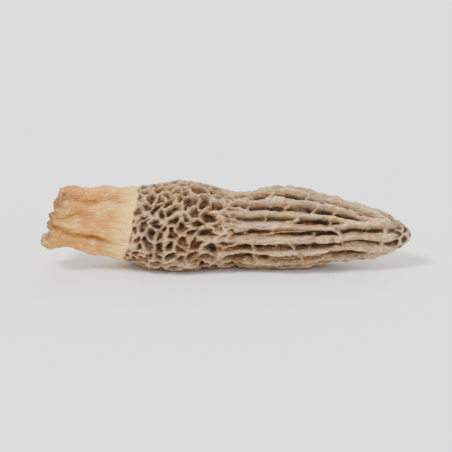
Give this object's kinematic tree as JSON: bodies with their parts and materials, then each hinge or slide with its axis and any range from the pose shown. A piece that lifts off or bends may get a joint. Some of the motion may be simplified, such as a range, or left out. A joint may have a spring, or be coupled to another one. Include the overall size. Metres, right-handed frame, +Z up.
{
  "type": "dried morel mushroom",
  "caption": "Dried black morel lying on its side: a slender conical cap with lengthwise ribs and dark pits, on a short wrinkled stem, open and hollow at its torn end.",
  "frame": {"origin": "on the surface it rests on, under the middle of its bounding box", "axes": "+X along the mushroom from the torn end of its stem to the tip of its cap, +Z up as it lies"},
  "size_m": [0.041, 0.0108, 0.0096],
  "materials": {
    "dried_flesh": "matte"
  },
  "bodies": {
    "root": {"dried_morel": "dried_flesh"}
  },
  "joints": []
}
